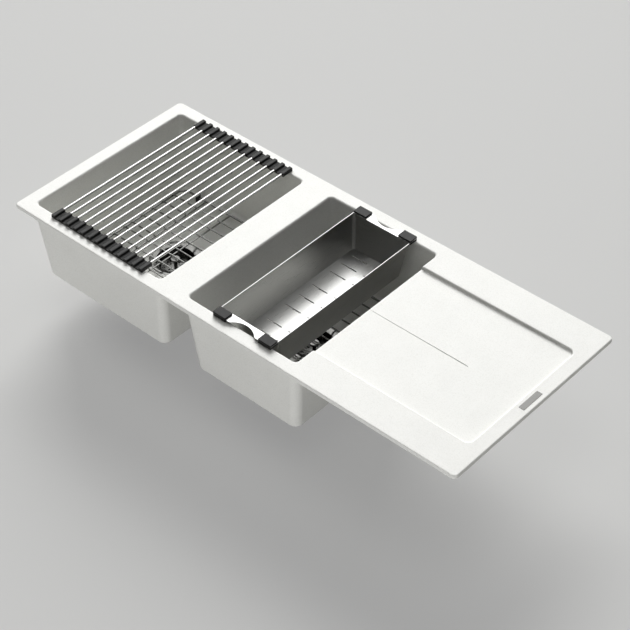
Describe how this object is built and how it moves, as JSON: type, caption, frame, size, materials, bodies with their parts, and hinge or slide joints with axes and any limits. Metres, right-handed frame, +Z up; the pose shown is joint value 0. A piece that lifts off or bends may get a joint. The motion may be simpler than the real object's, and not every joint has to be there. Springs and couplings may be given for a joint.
{
  "type": "inset kitchen sink with drainer",
  "caption": "White granite composite double-bowl inset sink with a drainer, basket wastes, bottom grids, a roll-up drying rack and a colander.",
  "frame": {"origin": "middle of the divider's underside, in the plane of the rim that rests on the worktop", "axes": "+X towards the drainer, +Y to the back, +Z up"},
  "size_m": [1.16, 0.485, 0.2782],
  "materials": {
    "granite": "fine speckled white granite composite, satin",
    "badge_steel": "brushed steel plate, blank",
    "waste_steel": "polished pressed stainless steel",
    "basket_steel": "polished stainless steel",
    "grid_wire": "bright drawn stainless wire",
    "colander_steel": "satin brushed stainless sheet",
    "rack_tube": "brushed stainless tube",
    "silicone": "matt black silicone",
    "foot_rubber": "black rubber",
    "seal_rubber": "black rubber",
    "stopper_rubber": "black rubber",
    "waste_plastic": "black moulded polypropylene"
  },
  "bodies": {
    "sink": {"sink_body": "granite", "badge_plate": "badge_steel", "left_waste_flange": "waste_steel", "left_flange_seal": "seal_rubber", "left_under_seal": "seal_rubber", "left_waste_body": "waste_plastic", "left_clamp_screw": "waste_steel", "right_waste_flange": "waste_steel", "right_flange_seal": "seal_rubber", "right_under_seal": "seal_rubber", "right_waste_body": "waste_plastic", "right_clamp_screw": "waste_steel"},
    "left_strainer": {"left_basket": "basket_steel", "left_basket_knob": "basket_steel", "left_basket_stopper": "stopper_rubber"},
    "right_strainer": {"right_basket": "basket_steel", "right_basket_knob": "basket_steel", "right_basket_stopper": "stopper_rubber"},
    "left_bottom_grid": {"left_grid_frame": "grid_wire", "left_grid_wires": "grid_wire", "left_grid_feet": "foot_rubber"},
    "right_bottom_grid": {"right_grid_frame": "grid_wire", "right_grid_wires": "grid_wire", "right_grid_feet": "foot_rubber"},
    "colander": {"colander_basket": "colander_steel", "colander_pads": "silicone"},
    "rack_segment_01": {"rack_rod_01": "rack_tube", "rack_caps_01": "silicone"},
    "rack_segment_02": {"rack_rod_02": "rack_tube", "rack_caps_02": "silicone"},
    "rack_segment_03": {"rack_rod_03": "rack_tube", "rack_caps_03": "silicone"},
    "rack_segment_04": {"rack_rod_04": "rack_tube", "rack_caps_04": "silicone"},
    "rack_segment_05": {"rack_rod_05": "rack_tube", "rack_caps_05": "silicone"},
    "rack_segment_06": {"rack_rod_06": "rack_tube", "rack_caps_06": "silicone"},
    "rack_segment_07": {"rack_rod_07": "rack_tube", "rack_caps_07": "silicone"},
    "rack_segment_08": {"rack_rod_08": "rack_tube", "rack_caps_08": "silicone"},
    "rack_segment_09": {"rack_rod_09": "rack_tube", "rack_caps_09": "silicone"},
    "rack_segment_10": {"rack_rod_10": "rack_tube", "rack_caps_10": "silicone"},
    "rack_segment_11": {"rack_rod_11": "rack_tube", "rack_caps_11": "silicone"},
    "rack_segment_12": {"rack_rod_12": "rack_tube", "rack_caps_12": "silicone"},
    "rack_segment_13": {"rack_rod_13": "rack_tube", "rack_caps_13": "silicone"}
  },
  "joints": [
    {"name": "left_strainer_lift", "type": "slide", "parent": "sink", "child": "left_strainer", "axis": [0, 0, 1], "range_m": [0, 0.008]},
    {"name": "right_strainer_lift", "type": "slide", "parent": "sink", "child": "right_strainer", "axis": [0, 0, 1], "range_m": [0, 0.008]},
    {"name": "left_grid_lift", "type": "slide", "parent": "sink", "child": "left_bottom_grid", "axis": [0, 0, 1], "range_m": [0, 0.12]},
    {"name": "right_grid_lift", "type": "slide", "parent": "sink", "child": "right_bottom_grid", "axis": [0, 0, 1], "range_m": [0, 0.065]},
    {"name": "colander_slide", "type": "slide", "parent": "sink", "child": "colander", "axis": [1, 0, 0], "range_m": [-0.06, 0.05]},
    {"name": "rack_lift", "type": "slide", "parent": "sink", "child": "rack_segment_07", "axis": [0, 0, 1], "range_m": [0, 0.15]},
    {"name": "rack_roll_01", "type": "hinge", "parent": "rack_segment_02", "child": "rack_segment_01", "pos_m": [-0.32712, 0, 0.0118], "axis": [0, 1, 0], "range_deg": [0, 24]},
    {"name": "rack_roll_02", "type": "hinge", "parent": "rack_segment_03", "child": "rack_segment_02", "pos_m": [-0.30597, 0, 0.0118], "axis": [0, 1, 0], "range_deg": [0, 24]},
    {"name": "rack_roll_03", "type": "hinge", "parent": "rack_segment_04", "child": "rack_segment_03", "pos_m": [-0.28482, 0, 0.0118], "axis": [0, 1, 0], "range_deg": [0, 24]},
    {"name": "rack_roll_04", "type": "hinge", "parent": "rack_segment_05", "child": "rack_segment_04", "pos_m": [-0.26367, 0, 0.0118], "axis": [0, 1, 0], "range_deg": [0, 24]},
    {"name": "rack_roll_05", "type": "hinge", "parent": "rack_segment_06", "child": "rack_segment_05", "pos_m": [-0.24252, 0, 0.0118], "axis": [0, 1, 0], "range_deg": [0, 24]},
    {"name": "rack_roll_06", "type": "hinge", "parent": "rack_segment_07", "child": "rack_segment_06", "pos_m": [-0.22137, 0, 0.0118], "axis": [0, 1, 0], "range_deg": [0, 24]},
    {"name": "rack_roll_07", "type": "hinge", "parent": "rack_segment_07", "child": "rack_segment_08", "pos_m": [-0.20022, 0, 0.0118], "axis": [0, -1, 0], "range_deg": [0, 24]},
    {"name": "rack_roll_08", "type": "hinge", "parent": "rack_segment_08", "child": "rack_segment_09", "pos_m": [-0.17908, 0, 0.0118], "axis": [0, -1, 0], "range_deg": [0, 24]},
    {"name": "rack_roll_09", "type": "hinge", "parent": "rack_segment_09", "child": "rack_segment_10", "pos_m": [-0.15793, 0, 0.0118], "axis": [0, -1, 0], "range_deg": [0, 24]},
    {"name": "rack_roll_10", "type": "hinge", "parent": "rack_segment_10", "child": "rack_segment_11", "pos_m": [-0.13678, 0, 0.0118], "axis": [0, -1, 0], "range_deg": [0, 24]},
    {"name": "rack_roll_11", "type": "hinge", "parent": "rack_segment_11", "child": "rack_segment_12", "pos_m": [-0.11563, 0, 0.0118], "axis": [0, -1, 0], "range_deg": [0, 24]},
    {"name": "rack_roll_12", "type": "hinge", "parent": "rack_segment_12", "child": "rack_segment_13", "pos_m": [-0.09448, 0, 0.0118], "axis": [0, -1, 0], "range_deg": [0, 24]}
  ]
}
